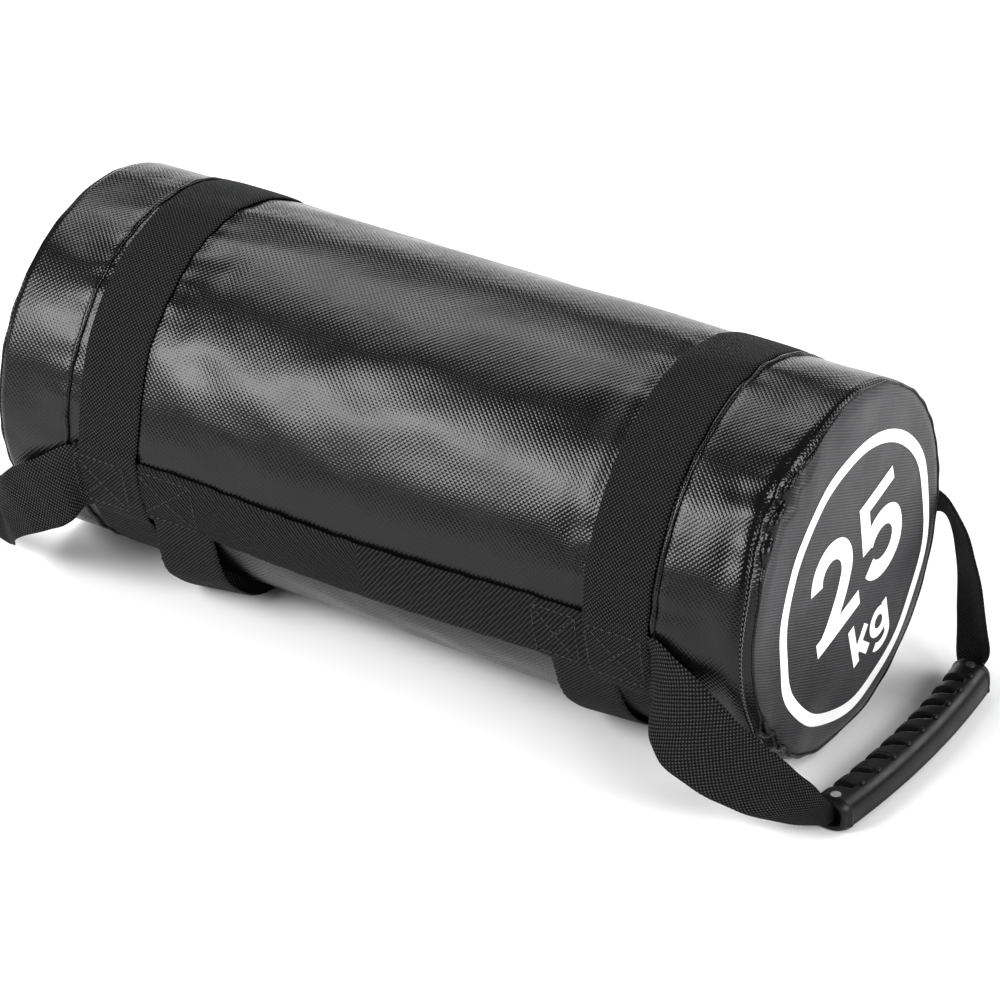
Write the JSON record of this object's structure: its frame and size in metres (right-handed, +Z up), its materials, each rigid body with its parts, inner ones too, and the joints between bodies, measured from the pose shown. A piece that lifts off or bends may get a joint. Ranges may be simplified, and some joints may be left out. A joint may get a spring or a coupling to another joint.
{
  "type": "training sandbag",
  "caption": "Padded tarpaulin barrel sandbag with webbing hoop bands, side carrying straps, an end loop with moulded grip at each end and a zipped filling end.",
  "frame": {"origin": "on the floor under the middle of the bag", "axes": "+X along the barrel towards the printed end, +Z up, -Y towards the front side strap"},
  "size_m": [0.618, 0.2284, 0.2201],
  "materials": {
    "tarpaulin": "glossy black PVC tarpaulin with an embossed woven texture",
    "cap_tarpaulin": "finely ribbed dark grey PVC tarpaulin, semi-gloss",
    "webbing": "black woven polypropylene webbing, matt",
    "grip_rubber": "moulded black rubber, satin",
    "steel": "plain nickel-plated steel",
    "zip_tape": "black woven zip tape",
    "zip_teeth": "black moulded teeth",
    "felt": "grey needled felt",
    "liner_film": "translucent heavy polythene film",
    "nylon": "natural nylon cable tie",
    "sand": "dry washed sand"
  },
  "bodies": {
    "bag": {"centre_sleeve": "tarpaulin", "zip_end_sleeve": "tarpaulin", "label_end_sleeve": "tarpaulin", "zip_end_welt": "tarpaulin", "label_end_welt": "tarpaulin", "label_end_cap": "cap_tarpaulin", "zip_end_cap_upper": "cap_tarpaulin", "zip_end_cap_lower": "cap_tarpaulin", "label_cap_seam": "tarpaulin", "zip_cap_seam": "tarpaulin", "zip_end_band": "webbing", "label_end_band": "webbing", "front_strap_zip_anchor": "webbing", "front_strap_label_anchor": "webbing", "back_strap_zip_anchor": "webbing", "back_strap_label_anchor": "webbing", "zip_end_cross_strap": "webbing", "label_end_cross_strap": "webbing", "zip_tape_upper": "zip_tape", "zip_tape_lower": "zip_tape", "zip_teeth_upper": "zip_teeth", "zip_teeth_lower": "zip_teeth", "zip_stop_front": "steel", "zip_stop_back": "steel", "padding_wrap": "felt", "label_end_pad": "felt", "zip_end_pad": "felt", "liner_bag": "liner_film", "liner_tie": "nylon", "sand_fill": "sand"},
    "label_handle": {"label_handle_webbing": "webbing", "label_handle_grip": "grip_rubber", "label_grip_rivet_front": "steel", "label_grip_rivet_back": "steel"},
    "zip_handle": {"zip_handle_webbing": "webbing", "zip_handle_grip": "grip_rubber", "zip_grip_rivet_front": "steel", "zip_grip_rivet_back": "steel"},
    "front_handle": {"front_handle_span": "webbing"},
    "back_handle": {"back_handle_span": "webbing"},
    "slider": {"zip_slider": "steel"},
    "pull": {"zip_pull": "steel"}
  },
  "joints": [
    {"name": "label_handle_swing", "type": "hinge", "parent": "bag", "child": "label_handle", "pos_m": [0.2198, 0, 0.087], "axis": [0, -1, 0], "range_deg": [0, 95]},
    {"name": "zip_handle_swing", "type": "hinge", "parent": "bag", "child": "zip_handle", "pos_m": [-0.2198, 0, 0.087], "axis": [0, 1, 0], "range_deg": [0, 95]},
    {"name": "front_handle_lift", "type": "slide", "parent": "bag", "child": "front_handle", "axis": [0, -1, 0], "range_m": [0, 0.022]},
    {"name": "back_handle_lift", "type": "slide", "parent": "bag", "child": "back_handle", "axis": [0, 1, 0], "range_m": [0, 0.022]},
    {"name": "zip_slide", "type": "slide", "parent": "bag", "child": "slider", "axis": [0, 1, 0], "range_m": [0, 0.15]},
    {"name": "zip_pull_swing", "type": "hinge", "parent": "slider", "child": "pull", "pos_m": [-0.2566, -0.076, 0.108], "axis": [0, 0, 1], "range_deg": [0, 160]}
  ]
}
